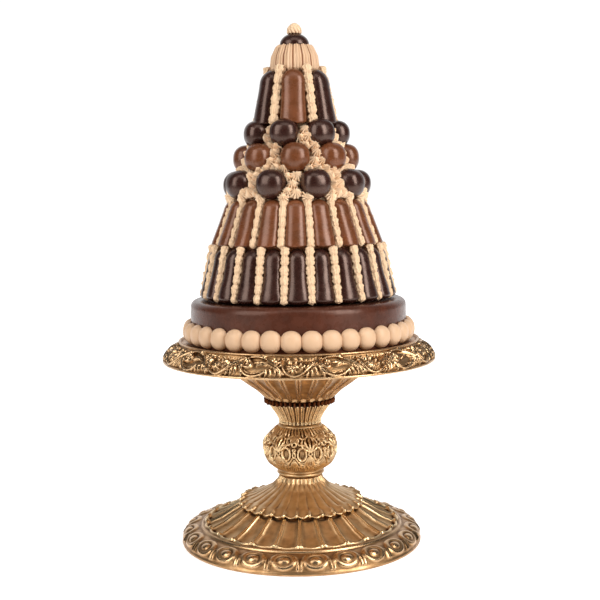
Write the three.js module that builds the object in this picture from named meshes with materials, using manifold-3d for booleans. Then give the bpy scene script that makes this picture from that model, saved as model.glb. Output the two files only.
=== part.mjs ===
// A display croquembouche on its gilt footed cake stand, as one standing piece.
// Millimetres, +Z up, the origin under the middle of the foot. Azimuths are in degrees from the
// front (-Y) and grow towards +X. Outlines are lists of [radius, height].
import * as THREE from "three";
import { mergeVertices } from "three/addons/utils/BufferGeometryUtils.js";
import Module from "manifold-3d";

const wasm = await Module();
wasm.setup();

const DEG = Math.PI / 180;
const GAP = 0.3; // kept between neighbouring pieces

// Stand, from the floor up
const FOOT = {
  radius: 120.4, edgeHeight: 4, eggs: 24, firstEgg: 6.4, eggDepth: 1.2,
  bandRadius: 100.6, bandHeight: 16, slope: [[98, 18.4], [93.4, 19.8], [80.2, 25.2], [68, 32.6]],
  topRadius: 63, top: 36.4,
};
const SKIRT = {
  radius: 62.2, lobes: 30, firstLobe: 1.9, lobeDepth: 1.8, bottom: FOOT.top + GAP, edge: 40.4,
  slope: [[45.6, 46.6], [30.6, 54.2], [22.4, 60.6]], neckRadius: 20.8, top: 66.3,
};
const KNOB = {
  radius: 36.6, centre: 93, halfHeight: 27.6, bottom: SKIRT.top + GAP, top: 118.1,
  ring: [[20.6, 66.7], [23.8, 68], [23.8, 69.8]], collar: [[21.6, 116.7], [20.6, 118.1]],
};
const CUP = {
  bottom: KNOB.top + GAP, bottomRadius: 20.2, flare: [[20.7, 122.6], [24.4, 129.1], [29.6, 136.4]],
  top: 141, rimRadius: 31.8, scallops: 16, scallopDepth: 1,
};
const LEAF_RING = {
  bottom: CUP.top + GAP, bottomRadius: 28.5, radius: 34.7, widest: 142.6, top: 143.8,
  teeth: 16, firstTooth: 11.25, toothDepth: 0.9,
};
const PLATE = {
  radius: 136.2, lipCentre: 185.2, shoulder: 118.4, top: 201.6, bottom: LEAF_RING.top + GAP,
  funnel: [[34.5, 144.1], [38.6, 149.8], [48, 157.4], [58, 164.5], [67, 173]],
  underside: [[72, 177.5], [129.5, 183.5]],
  flutes: 25, firstFlute: -1, fluteDepth: 1.3,
};

// Cake, from the plate up
const DRUM = { radius: 107, bottom: PLATE.top + GAP, top: 244.8, edgeRound: 7 };
const PEARLS = {
  count: 37, first: -3.7, backRadius: DRUM.radius + GAP, radius: 116, height: 22.2, width: 19.6, bottom: 202.1,
};
const DARK_FINGERS = {
  count: 23, firstRope: -8, bottom: DRUM.top + GAP, top: 296.8, radius: 99.6, topRadius: 87.3,
  grooveDepth: 5, shoulderShare: 0.62, crownDrop: 9, crownWidth: 6.2, backRadius: 87.6, topBackRadius: 78.3,
};
const DARK_ROPE = { width: 6.6, proud: -0.3, top: 293.8 };
const MILK_FINGER = {
  count: 18, first: -1, bottom: 297.2, top: 342.4, width: 21, topWidth: 18, depth: 12.8,
  radius: 86.1, topRadius: 69.4, round: 8, sides: 10,
};
const MILK_ROPE = { bank: 2.1, height: 8.4, dent: 1.8, bumps: 5 };
const ECLAIR = {
  count: 6, first: -3.6, bottom: 412.2, top: 465.6, width: 24.4, topWidth: 20.6, depth: 18.8,
  radius: 44.6, topRadius: 34.8, round: 10, sides: 10,
};
const ECLAIR_ROPE = { width: 5, height: 8.4, dent: 2, root: 1.5, bumps: 6, bottom: 416, top: 463 };
// Each row of round choux: its height, the ring that its middles lie on, and a choux's own size
const CHOUX_ROWS = [
  { name: "choux_lower", count: 9, first: 17.2, height: 355.9, ring: 59.6, width: 27.6, tall: 26.4 },
  { name: "choux_middle", count: 8, first: -1.2, height: 381, ring: 47.8, width: 27.2, tall: 26.8 },
  { name: "choux_upper", count: 7, first: -15.8, height: 404.4, ring: 39.2, width: 26.4, tall: 22.2 },
];
// Cream stars fill the gaps of a row, one above the other; heights are counted from the row's middle
const STARS = { radius: 4.3, length: 8, lift: 5.2, sides: 5, heights: [[5.1, -8.6], [8.1, -9], [4, -7.6]] };
// The cone of cream that carries the choux; its slope changes only between two rows
const CORE = {
  sides: 18,
  outline: [
    [0, DARK_FINGERS.bottom], [86.6, DARK_FINGERS.bottom], [76, 296.9], [78.8, 297.1], [62, 342.2],
    [50, 368.4], [38.8, 394], [29.6, 415.5], [19.4, 468], [0, 468],
  ],
};
const CROWN = {
  bottom: 466.6, radius: 24.4, flare: 2.2, top: 490.5, topRadius: 17.2, seatDepth: 1.4,
  strips: 15, firstSeam: -4.6, stripDepth: 0.7,
};
const TOP_CHOUX = { radius: 14.4, bottom: CROWN.top - CROWN.seatDepth + GAP, middle: 490.9, height: 11.3 };
const FINIAL = { radius: 7, bottom: 497.4, waist: 504, top: 512.2, ridges: 8, ridgeDepth: 0.7 };

const GILT = new THREE.MeshStandardMaterial({ color: 0xb88a4f, roughness: 0.38, metalness: 0.9 });
const AGED_GILT = new THREE.MeshStandardMaterial({ color: 0x7d5526, roughness: 0.5, metalness: 0.8 });
const CREAM = new THREE.MeshStandardMaterial({ color: 0xedcf9f, roughness: 0.6 });
const MILK = new THREE.MeshStandardMaterial({ color: 0x7a4426, roughness: 0.42 });
const DARK = new THREE.MeshStandardMaterial({ color: 0x3b231d, roughness: 0.38 });
const DRUM_BROWN = new THREE.MeshStandardMaterial({ color: 0x4d2c22, roughness: 0.4 });

/** The same surface, its shared corners merged, collapsed triangles dropped and its faces pointing out. */
function closed(geometry) {
  const bare = new THREE.BufferGeometry().setAttribute("position", geometry.getAttribute("position"));
  if (geometry.index) bare.setIndex(geometry.index);
  const merged = mergeVertices(bare, 1e-3);
  const at = merged.getAttribute("position");
  const corners = [0, 1, 2].map(() => new THREE.Vector3());
  const kept = [];
  let volume = 0;
  for (let i = 0; i < merged.index.count; i += 3) {
    const face = [0, 1, 2].map((k) => merged.index.getX(i + k));
    if (new Set(face).size < 3) continue;
    face.forEach((vertex, k) => corners[k].fromBufferAttribute(at, vertex));
    volume += corners[0].dot(corners[1].clone().cross(corners[2]));
    kept.push(face);
  }
  merged.setIndex(kept.flatMap(([a, b, c]) => (volume < 0 ? [a, c, b] : [a, b, c])));
  return merged;
}

/** A geometry as a solid that can be joined and cut. */
function solid(geometry) {
  const mesh = closed(geometry);
  const vertProperties = new Float32Array(mesh.getAttribute("position").array);
  const triVerts = new Uint32Array(mesh.index.array);
  return new wasm.Manifold(new wasm.Mesh({ numProp: 3, vertProperties, triVerts }));
}

/** A solid as a geometry again. */
function surface(body) {
  const mesh = body.getMesh();
  return new THREE.BufferGeometry()
    .setAttribute("position", new THREE.BufferAttribute(mesh.vertProperties, 3))
    .setIndex(new THREE.BufferAttribute(mesh.triVerts, 1));
}

/** Points of an elliptic arc in an outline, its angles in degrees from straight outwards. */
function arc([radius, height], [wide, tall], from, to, steps) {
  return Array.from({ length: steps + 1 }, (_, i) => {
    const angle = (from + ((to - from) * i) / steps) * DEG;
    return [radius + wide * Math.cos(angle), height + tall * Math.sin(angle)];
  });
}

/** Azimuths of a turned shape's columns: the given offsets, repeated at count even turns. */
const columns = (count, first = 0, offsets = [0]) =>
  Array.from({ length: count }, (_, i) => offsets.map((offset) => first + offset + (i * 360) / count)).flat();

/**
 * An outline turned round Z through the given azimuths. relief may move a corner:
 * (azimuth, radius, height) to [radius, height].
 */
function turned(outline, azimuths, relief = (_, radius, height) => [radius, height]) {
  const points = outline.map(([radius, height]) => new THREE.Vector2(radius, height));
  const lathe = new THREE.LatheGeometry(points, azimuths.length);
  const at = lathe.getAttribute("position");
  for (let i = 0; i < at.count; i++) {
    const azimuth = azimuths[Math.floor(i / points.length) % azimuths.length];
    const [radius, height] = outline[i % points.length];
    const [r, z] = radius > 0 ? relief(azimuth, radius, height) : [radius, height];
    at.setXYZ(i, r * Math.sin(azimuth * DEG), -r * Math.cos(azimuth * DEG), z);
  }
  return closed(lathe);
}

/** How far an azimuth is from the nearest of count even ones, as a share of half their spacing. */
function offCentre(azimuth, count, first) {
  const turn = ((azimuth - first) * count) / 360;
  return Math.abs(turn - Math.round(turn)) * 2;
}

/** How far in a round back falls at a share of its half width: 0 in the middle, 1 at the edge. */
const fallOff = (share) => 1 - Math.sqrt(Math.max(0, 1 - share * share));

/** A radius at a height on the straight line between two heights. */
const between = (height, bottom, top, radius, topRadius) =>
  radius + ((topRadius - radius) * (height - bottom)) / (top - bottom);

/** The radius of the cream cone at a height. */
function coreRadius(height) {
  const side = CORE.outline.slice(1, -1);
  const upper = side.findIndex((point) => point[1] > height);
  const [[radius, bottom], [topRadius, top]] = [side[upper - 1], side[upper]];
  return between(height, bottom, top, radius, topRadius);
}

/**
 * What lies behind a flat back that clears the cream cone between two heights, for a piece at the
 * front. The cone is round, or has a flat face there that spans halfFace degrees each way.
 */
function behindBack(bottom, top, halfFace = 0) {
  const low = coreRadius(bottom) * Math.cos(halfFace * DEG) + GAP;
  const high = coreRadius(top) * Math.cos(halfFace * DEG) + GAP;
  const size = 200;
  const block = new THREE.BoxGeometry(size, size, size).translate(0, size / 2, 0);
  block.rotateX(-Math.atan2(low - high, top - bottom));
  return solid(block.translate(0, -(low + high) / 2, (bottom + top) / 2));
}

/** A finger or eclair at the front: upright, round-topped, flat-footed, and leaning in as it rises. */
function finger({ width, topWidth, depth, bottom, top, radius, topRadius, round, sides }) {
  const length = top - bottom;
  const outline = [
    [0, 0], [width / 2, 0],
    ...arc([0, length - round], [topWidth / 2, round], 0, 90, 3),
  ];
  const lean = new THREE.Matrix4().makeShear(0, 0, 0, 0, 0, (radius - topRadius) / length);
  return turned(outline, columns(sides))
    .scale(1, depth / width, 1)
    .applyMatrix4(lean)
    .translate(0, depth / 2 - radius, bottom);
}

/** A piped rope of cream at the front, its root on a line that leans in from one radius to another. */
function rope({ width, height, dent, root, bumps, bottom, top }, radius, topRadius) {
  const length = Math.hypot(top - bottom, radius - topRadius);
  const pitch = length / bumps;
  const end = height / 2;
  const [crestShare, dentShare] = [0.9, 0.68]; // of the width, on a bump and between two
  const points = [[-root, 0], [end, 0]];
  for (let i = 0; i < bumps; i++) {
    points.push([height, (i + 0.5) * pitch]);
    if (i < bumps - 1) points.push([height - dent, (i + 1) * pitch]);
  }
  points.push([end, length], [-root, length]);
  const side = new THREE.Shape(points.map(([out, along]) => new THREE.Vector2(out, along)));
  const strip = new THREE.ExtrudeGeometry(side, { depth: width, bevelEnabled: false });
  strip.translate(0, 0, -width / 2);
  const at = strip.getAttribute("position");
  for (let i = 0; i < at.count; i++) {
    const out = at.getX(i);
    if (out > 0) at.setZ(i, at.getZ(i) * (out > height - dent / 2 ? crestShare : dentShare));
  }
  const lean = Math.atan2(radius - topRadius, top - bottom);
  const outwards = new THREE.Vector3(0, -Math.cos(lean), Math.sin(lean));
  const along = new THREE.Vector3(0, Math.sin(lean), Math.cos(lean));
  const across = outwards.clone().cross(along);
  const place = new THREE.Matrix4().makeBasis(outwards, along, across).setPosition(0, -radius, bottom);
  return solid(strip.applyMatrix4(place));
}

/** Copies of a solid round Z, at count even azimuths. */
const roundAbout = (body, count, first) =>
  Array.from({ length: count }, (_, i) => body.rotate([0, 0, first + (i * 360) / count]));

const group = new THREE.Group();

/** Adds a piece to the object, turned to its azimuth. */
function add(name, geometry, material, azimuth = 0) {
  const mesh = new THREE.Mesh(geometry, material);
  mesh.name = name;
  mesh.rotation.z = azimuth * DEG;
  group.add(mesh);
}

// ---- Foot: a flat edge, a round band of egg-and-dart, a raised ring, and a hollowed slope up
{
  const { radius, edgeHeight, bandRadius, bandHeight, slope, topRadius, top } = FOOT;
  const { eggs, firstEgg, eggDepth } = FOOT;
  const outline = [
    [0, 0], [radius, 0], [radius, edgeHeight - 1],
    ...arc([bandRadius - 1, edgeHeight], [radius - bandRadius, bandHeight - edgeHeight], 6, 78, 3),
    ...slope, [topRadius, top], [0, top],
  ];
  const relief = (azimuth, r, z) => {
    const onBand = r > bandRadius + 3 && z > edgeHeight;
    return [onBand ? r + eggDepth * (1 - 2 * offCentre(azimuth, eggs, firstEgg)) : r, z];
  };
  add("stand_foot", turned(outline, columns(2 * eggs, firstEgg), relief), GILT);
}

// ---- Skirt: a bell of lapped leaves that spreads over the foot, its edge scalloped
{
  const { radius, bottom, edge, slope, neckRadius, top, lobes, firstLobe, lobeDepth } = SKIRT;
  const outline = [
    [0, bottom], [radius - 2.5, bottom], [radius, edge], ...slope, [neckRadius, top], [0, top],
  ];
  const relief = (azimuth, r, z) => {
    const spread = Math.max(0, (r - neckRadius) / (radius - neckRadius));
    return [r + lobeDepth * spread * (1 - 2 * offCentre(azimuth, lobes, firstLobe)), z];
  };
  add("stand_skirt", turned(outline, columns(2 * lobes, firstLobe), relief), GILT);
}

// ---- Knob: a flattened ball between a ring at its foot and a plain collar on top
{
  const { radius, centre, halfHeight, ring, collar, bottom, top } = KNOB;
  const end = Math.acos(collar[0][0] / radius) / DEG;
  const ball = arc([0, centre], [radius, halfHeight], -end, end, 7);
  add("stand_knob", turned([[0, bottom], ...ring, ...ball, ...collar, [0, top]], columns(20)), GILT);
}

// ---- Cup: a fluted calyx with a scalloped rim
{
  const { bottom, bottomRadius, flare, top, rimRadius, scallops, scallopDepth } = CUP;
  const outline = [
    [0, bottom], [bottomRadius, bottom], ...flare, [rimRadius, top - 0.6], [rimRadius - 1.4, top], [0, top],
  ];
  const relief = (azimuth, r, z) => {
    const opened = (z - bottom) / (top - bottom);
    return [r + scallopDepth * opened * (1 - 2 * offCentre(azimuth, scallops, 0)), z];
  };
  add("stand_cup", turned(outline, columns(2 * scallops), relief), GILT);
}

// ---- Leaf ring: a collar of dark leaf tips between the cup and the funnel
{
  const { bottom, bottomRadius, radius, widest, teeth, firstTooth, toothDepth, top } = LEAF_RING;
  const outline = [[0, bottom], [bottomRadius, bottom], [radius, widest], [radius - 0.8, top], [0, top]];
  const relief = (azimuth, r, z) => [r + toothDepth * (1 - 2 * offCentre(azimuth, teeth, firstTooth)), z];
  add("stand_leaf_ring", turned(outline, columns(2 * teeth), relief), AGED_GILT);
}

// ---- Plate: a flat top, a rounded carved lip, a smooth underside and a fluted funnel down to the cup
{
  const { radius, lipCentre, shoulder, top, bottom, funnel, underside } = PLATE;
  const { flutes, firstFlute, fluteDepth } = PLATE;
  const outline = [
    [0, bottom], ...funnel, ...underside,
    ...arc([shoulder, lipCentre], [radius - shoulder, top - lipCentre - 0.8], -8, 82, 3),
    [shoulder - 1, top], [0, top],
  ];
  const relief = (azimuth, r, z) => {
    const fluted = z > bottom && z < underside[0][1];
    return [fluted ? r + fluteDepth * (1 - 2 * offCentre(azimuth, flutes, firstFlute)) : r, z];
  };
  add("stand_plate", turned(outline, columns(2 * flutes, firstFlute), relief), GILT);
}

// ---- Drum: the chocolate cake base, its upper edge rounded
{
  const { radius, bottom, top, edgeRound } = DRUM;
  const outline = [
    [0, bottom], [radius, bottom],
    ...arc([radius - edgeRound, top - edgeRound], [edgeRound, edgeRound], 0, 90, 3),
    [0, top],
  ];
  add("cake_drum", turned(outline, columns(36)), DRUM_BROWN);
}

// ---- Pearl ring: touching balls of cream pressed against the foot of the drum
{
  const { count, first, backRadius, radius, height, width, bottom } = PEARLS;
  const middle = bottom + height / 2;
  const outline = arc([backRadius, middle], [radius - backRadius, height / 2], -90, 90, 4);
  outline.push(outline[0]);
  const relief = (azimuth, r, z) => {
    const across = (offCentre(azimuth, count, first) * Math.PI * backRadius) / count;
    const share = 1 - fallOff(across / (width / 2));
    return [backRadius + (r - backRadius) * share, middle + (z - middle) * share];
  };
  const third = 120 / count;
  const azimuths = columns(count, first - 1.5 * third, [0, third, 2 * third]);
  add("pearl_ring", turned(outline, azimuths, relief), CREAM);
}

// ---- Lower tier: a ring of touching dark finger choux, with a rope of cream piped down each groove
{
  const { count, firstRope, bottom, top, radius, topRadius, backRadius, topBackRadius } = DARK_FINGERS;
  const { grooveDepth, shoulderShare, crownDrop, crownWidth } = DARK_FINGERS;
  const outline = [
    [backRadius, bottom], [radius, bottom],
    ...arc([topRadius - 4, top - crownDrop], [crownWidth, crownDrop], 8, 90, 3),
    [topBackRadius, top], [backRadius, bottom],
  ];
  const grooveShare = (DARK_ROPE.width / 2) * (count / Math.PI / radius);
  const relief = (azimuth, r, z) => {
    const share = offCentre(azimuth, count, firstRope);
    const onBack = r < between(z, bottom, top, backRadius, topBackRadius) + 1;
    if (onBack) return [r, z];
    if (share < grooveShare / 2) return [r + DARK_ROPE.proud, between(z, bottom, top, bottom, DARK_ROPE.top)];
    const drop = fallOff(1 - share);
    return [r - grooveDepth * drop, between(z, bottom, top, bottom, top - crownDrop * drop)];
  };
  const shares = [0, grooveShare, shoulderShare, 2 - shoulderShare, 2 - grooveShare];
  const azimuths = columns(count, firstRope, shares.map((share) => (share * 180) / count));
  add("dark_finger_ring", turned(outline, azimuths, relief), DARK);
}

// ---- Middle tier: milk finger choux stood on the dark ones
{
  const { count, first, bottom, top } = MILK_FINGER;
  const body = solid(finger(MILK_FINGER)).subtract(behindBack(bottom, top, 180 / count - MILK_ROPE.bank));
  for (let i = 0; i < count; i++) {
    const name = "milk_finger_" + String(i + 1).padStart(2, "0");
    add(name, surface(body), MILK, first + (i * 360) / count);
  }
}

// ---- Round choux: three rows, each choux with a flat back against the cream
/** One choux at the front; grow widens it all round. */
function choux({ width, tall, height, ring }, grow = 0) {
  const flatness = tall / width;
  const slope = ((coreRadius(height - 1) - coreRadius(height + 1)) / 2) * flatness;
  const back = (ring - coreRadius(height)) * Math.cos(Math.atan(slope)) - GAP;
  const radius = width / 2;
  const cut = Math.asin(back / radius) / DEG;
  const outline = [[0, -back], ...arc([0, 0], [radius, radius], -cut, 90, 3)];
  return turned(outline, columns(10))
    .rotateX(Math.PI / 2 - Math.atan(slope))
    .scale(1 + grow / radius, 1 + grow / radius, flatness * (1 + grow / radius))
    .translate(0, -ring, height);
}
for (const row of CHOUX_ROWS) {
  const glaze = row.name === "choux_middle" ? MILK : DARK;
  for (let i = 0; i < row.count; i++) {
    add(row.name + "_" + (i + 1), choux(row), glaze, row.first + (i * 360) / row.count);
  }
}
const chouxRoom = wasm.Manifold.union(
  CHOUX_ROWS.flatMap((row) => roundAbout(solid(choux(row, GAP)), row.count, row.first)),
);

// ---- Top tier: eclairs, milk and dark by turns, resting on the upper choux
{
  const { count, first, bottom, top } = ECLAIR;
  const body = solid(finger(ECLAIR))
    .subtract(behindBack(bottom - 8, bottom + 4))
    .subtract(behindBack(bottom + 4.3, top - 0.4));
  for (let i = 0; i < count; i++) {
    const azimuth = first + (i * 360) / count;
    const rested = body.subtract(chouxRoom.rotate([0, 0, -azimuth]));
    const tone = i % 2 ? "dark" : "milk";
    add("eclair_" + tone + "_" + (i + 1), surface(rested), i % 2 ? DARK : MILK, azimuth);
  }
}

/** The crown: fluted, narrower above, with a shallow seat for the top choux. */
function crown() {
  const { bottom, radius, flare, top, topRadius, seatDepth, strips, firstSeam, stripDepth } = CROWN;
  const seat = top - seatDepth;
  const outline = [
    [0, bottom], [radius - 1.4, bottom], [radius, bottom + flare],
    [(radius + topRadius) / 2, (bottom + top) / 2], [topRadius, top - 0.6], [topRadius - 2, seat], [0, seat],
  ];
  const relief = (azimuth, r, z) => {
    const outer = r > topRadius - 1 && z > bottom + 1;
    return [outer ? r + stripDepth * (2 * offCentre(azimuth, strips, firstSeam) - 1) : r, z];
  };
  return solid(turned(outline, columns(2 * strips, firstSeam), relief));
}

// ---- Cream: the cone that carries the choux, ropes between the milk fingers and between the eclairs,
// stars in the gaps between the round choux, and a crown of piped strips round the top
{
  const { count, first, bottom } = MILK_FINGER;
  const { bumps, bank, height, dent } = MILK_ROPE;
  const waist = CORE.outline.findIndex((point) => point[1] > bottom);
  const [waistRadius, top] = CORE.outline[waist];
  const pitch = (top - bottom) / bumps;
  const levels = Array.from({ length: 2 * bumps }, (_, i) => bottom + (i * pitch) / 2);
  const ridge = levels.map((level) => [coreRadius(level), level]);
  const lower = [...CORE.outline.slice(0, waist - 1), ...ridge, [waistRadius, top], [0, top]];
  const firstRope = first + 180 / count;
  const relief = (azimuth, r, z) => {
    const onRope = z >= bottom && z < top - 0.1 && offCentre(azimuth, count, firstRope) < 0.1;
    if (!onRope) return [r, z];
    const onCrest = Math.round((2 * (z - bottom)) / pitch) % 2 === 1;
    return [r + (onCrest ? height : height - dent), z];
  };
  const banked = solid(turned(lower, columns(count, firstRope, [-bank, 0, bank]), relief));
  const sunk = top - 1; // the upper cone starts inside the lower one
  const upper = [[0, sunk], [waistRadius - 0.3, sunk], ...CORE.outline.slice(waist)];
  const cone = solid(turned(upper, columns(CORE.sides, firstRope)));
  const strand = rope(ECLAIR_ROPE, coreRadius(ECLAIR_ROPE.bottom), coreRadius(ECLAIR_ROPE.top));
  const strands = roundAbout(strand, ECLAIR.count, ECLAIR.first + 180 / ECLAIR.count);
  const stars = CHOUX_ROWS.flatMap((row, i) =>
    STARS.heights[i].flatMap((up) => {
      const level = row.height + up;
      const middle = coreRadius(level) + STARS.lift - STARS.length / 2;
      const star = new THREE.ConeGeometry(STARS.radius, STARS.length, STARS.sides);
      star.rotateX(Math.PI).translate(0, -middle, level);
      return roundAbout(solid(star), row.count, row.first + 180 / row.count);
    }),
  );
  const piping = wasm.Manifold.union([...strands, ...stars]).subtract(chouxRoom);
  add("cream_core", surface(wasm.Manifold.union([banked, cone, piping, crown()])), CREAM);
}

// ---- Top choux and the rosette on it
{
  const { radius, bottom, middle, height } = TOP_CHOUX;
  const dome = (grow) => {
    const round = arc([0, middle], [radius + grow, height + grow], 0, 90, 3);
    return turned([[0, bottom], [radius + grow, bottom], ...round], columns(12));
  };
  add("top_choux", dome(0), DARK);
  const { radius: wide, bottom: low, waist, top, ridges, ridgeDepth } = FINIAL;
  const shoulder = (waist + top) / 2 + 0.4;
  const outline = [[0, low], [wide - 1.6, low], [wide - 0.2, waist], [wide - 2.4, shoulder], [0, top]];
  const relief = (azimuth, r, z) => [r + ridgeDepth * (1 - 2 * offCentre(azimuth, ridges, 0)), z];
  const rosette = solid(turned(outline, columns(2 * ridges), relief)).subtract(solid(dome(GAP)));
  add("cream_finial", surface(rosette), CREAM);
}

export default group;
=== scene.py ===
from collections import namedtuple
from math import atan2, copysign, cos, degrees, hypot, pi, radians, sin

import bpy
import numpy as np
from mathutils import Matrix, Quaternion, Vector


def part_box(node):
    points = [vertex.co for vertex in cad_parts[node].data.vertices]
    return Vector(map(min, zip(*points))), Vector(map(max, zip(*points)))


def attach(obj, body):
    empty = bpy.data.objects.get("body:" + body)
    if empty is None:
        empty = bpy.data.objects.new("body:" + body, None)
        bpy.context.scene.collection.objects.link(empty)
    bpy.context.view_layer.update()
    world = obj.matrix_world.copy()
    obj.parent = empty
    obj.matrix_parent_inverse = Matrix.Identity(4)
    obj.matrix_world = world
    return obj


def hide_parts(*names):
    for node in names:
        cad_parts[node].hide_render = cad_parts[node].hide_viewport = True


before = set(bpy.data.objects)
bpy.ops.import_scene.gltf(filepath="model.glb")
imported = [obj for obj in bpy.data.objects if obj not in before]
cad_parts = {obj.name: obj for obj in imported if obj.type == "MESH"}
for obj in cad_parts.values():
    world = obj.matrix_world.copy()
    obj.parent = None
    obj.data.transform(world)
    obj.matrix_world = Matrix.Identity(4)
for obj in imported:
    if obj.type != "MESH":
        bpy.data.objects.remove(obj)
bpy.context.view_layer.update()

# ---- Camera and studio
# A white acrylic sweep, with a painted pool of light glowing on it under the object, in front of white paper,
# with the room dim behind the camera. A large softbox at each side gives every glazed piece a soft upright
# light at its left and at its right.
MM = 0.001
scene = bpy.context.scene
scene.view_settings.view_transform = "Standard"

EYE = Vector((0, -1.1, 0.3474))
AIM = Vector((0.0018, 0, 0.2416))
LENS = 66.64
TILT = radians(-0.83)  # the camera stands a little off level


def hung(name, data, place, tilt=0.0):
    """A camera or a lamp at a place, turned towards the middle of the object."""
    made = bpy.data.objects.new(name, data)
    made.location = place
    made.rotation_mode = "QUATERNION"
    made.rotation_quaternion = (AIM - place).to_track_quat("-Z", "Y") @ Quaternion((0, 0, 1), tilt)
    scene.collection.objects.link(made)
    return made


scene.camera = hung("camera", bpy.data.cameras.new("camera"), EYE, TILT)
scene.camera.data.lens = LENS


def linear(hexed):
    """An sRGB hex colour as linear red, green, blue and alpha."""
    shares = [int(hexed[i : i + 2], 16) / 255 for i in (0, 2, 4)]
    return [c / 12.92 if c <= 0.04045 else ((c + 0.055) / 1.055) ** 2.4 for c in shares] + [1.0]


def feed(owner, fed, links):
    """Links outputs to a node's sockets."""
    for key, source in links.items():
        owner.node_tree.links.new(source, fed.inputs[key])


def node(owner, kind, settings=None, links=None):
    """Adds a node: settings are its properties, the values of its sockets or the sRGB stops of its colour
    ramp, and links feed its sockets."""
    added = owner.node_tree.nodes.new(kind)
    for key, value in (settings or {}).items():
        if key == "stops":
            stops = added.color_ramp.elements
            stops[0].position, stops[1].position = value[0][0], value[-1][0]
            for position, _ in value[1:-1]:
                stops.new(position)
            for stop, (_, colour) in zip(stops, value):
                stop.color = linear(colour)
        elif isinstance(key, str) and hasattr(added, key):
            setattr(added, key, value)
        else:
            added.inputs[key].default_value = value
    feed(owner, added, links or {})
    return added


SMOOTH = {"interpolation_type": "SMOOTHSTEP"}
PAPER, ROOM, CEILING = 1.06, 0.05, 0.08  # light from the paper behind, the room in front and above
world = bpy.data.worlds.new("studio")
world.use_nodes = True
sky = world.node_tree.nodes["Background"]
sky.inputs["Color"].default_value = linear("FFFFFF")
towards = node(
    world, "ShaderNodeSeparateXYZ", None, {0: node(world, "ShaderNodeTexCoord").outputs["Generated"]}
).outputs
behind = node(
    world, "ShaderNodeMapRange", {**SMOOTH, 1: 0.35, 2: 0.86, 3: ROOM, 4: PAPER}, {0: towards["Y"]}
)
above = node(
    world, "ShaderNodeMapRange", {**SMOOTH, 1: 0.2, 2: 1.0, 3: 0.0, 4: CEILING}, {0: towards["Z"]}
)
light = node(world, "ShaderNodeMath", {"operation": "ADD"}, {0: behind.outputs[0], 1: above.outputs[0]})
feed(world, sky, {"Strength": light.outputs[0]})
scene.world = world


def softbox(name, azimuth, height, distance, width, tall, power):
    """An upright area light that faces the middle of the object."""
    light = bpy.data.lights.new(name, "AREA")
    light.shape = "RECTANGLE"
    light.size, light.size_y, light.energy = width, tall, power
    turn = radians(azimuth)
    hung(name, light, Vector((distance * sin(turn), -distance * cos(turn), height)))


softbox("left_softbox", -52, 1.0, 1.5, 1.0, 1.6, 21)
softbox("right_softbox", 50, 1.0, 1.5, 0.8, 1.6, 33)
softbox("top_softbox", 0, 1.9, 0.7, 1.2, 0.8, 5)


def finish(name, roughness, metallic=0.0, **sockets):
    """A material with one Principled shader, and that shader."""
    material = bpy.data.materials.new(name)
    material.use_nodes = True
    shader = material.node_tree.nodes["Principled BSDF"]
    shader.inputs["Roughness"].default_value = roughness
    shader.inputs["Metallic"].default_value = metallic
    for key, value in sockets.items():
        shader.inputs[key.replace("_", " ")].default_value = value
    return material, shader


# The sweep's glow is a painted pool of light under the object, and in front its colour fades to grey as
# painted shade.
acrylic, acrylic_shader = finish("acrylic_sweep_with_painted_light_pool", 0.9)
across_floor = node(
    acrylic, "ShaderNodeSeparateXYZ", None, {0: node(acrylic, "ShaderNodeTexCoord").outputs["Object"]}
).outputs["Y"]
lit = node(
    acrylic, "ShaderNodeMapRange", {**SMOOTH, 1: -1.5, 2: -0.5, 3: 0.0, 4: 1.0}, {0: across_floor}
).outputs[0]
shade = node(
    acrylic, "ShaderNodeMix", {"data_type": "RGBA", 6: linear("3C3B3A"), 7: linear("F4F3F2")}, {0: lit}
)
behind = node(
    acrylic, "ShaderNodeMapRange", {**SMOOTH, 1: 0.1, 2: 1.4, 3: 0.6, 4: 1.1}, {0: across_floor}
).outputs[0]
glow = node(acrylic, "ShaderNodeMath", {"operation": "MULTIPLY"}, {0: lit, 1: behind})
acrylic_shader.inputs["Emission Color"].default_value = linear("FFFFFF")
feed(acrylic, acrylic_shader, {"Base Color": shade.outputs[2], "Emission Strength": glow.outputs[0]})
HALF = 6.0  # of the sweep's length and breadth, in metres
floor = bpy.data.meshes.new("floor")
corners = [(-HALF, -HALF, 0), (HALF, -HALF, 0), (HALF, HALF, 0), (-HALF, HALF, 0)]
floor.from_pydata(corners, [], [(0, 1, 2, 3)])
floor.materials.append(acrylic)
floor_piece = bpy.data.objects.new("floor", floor)
scene.collection.objects.link(floor_piece)


# ---- Foot of the stand
# Cast resin, gilded: a flat edge, a rounded band of eggs and double darts, a plain ring, a thin jointed
# bead, and hollow panels with double ribs between them that rise under the skirt.
def span(name):
    """A CAD node's outer radius, bottom and top, in millimetres."""
    low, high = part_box(name)
    return (high.x - low.x) / 2 / MM, low.z / MM, high.z / MM


def around(azimuth, radius, height):
    """Points in millimetres at azimuths from the front, radii and heights."""
    turn = np.radians(azimuth)
    return np.stack(np.broadcast_arrays(radius * np.sin(turn), -radius * np.cos(turn), height), -1)


def needed_rows(grid, depth, gap=12, bend=0.015):
    """The rows of a skin that lie off the straight between their neighbours, at most a gap apart."""
    whole = np.concatenate([grid, depth[..., None]], -1)
    kept = [0]
    for row in range(1, len(grid) - 1):
        start = kept[-1]
        share = (np.arange(start + 1, row + 1) - start) / (row + 1 - start)
        straight = whole[start] + share[:, None, None] * (whole[row + 1] - whole[start])
        if row - start >= gap or np.abs(whole[start + 1 : row + 1] - straight).max() > bend:
            kept.append(row)
    return kept + [len(grid) - 1]


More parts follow.
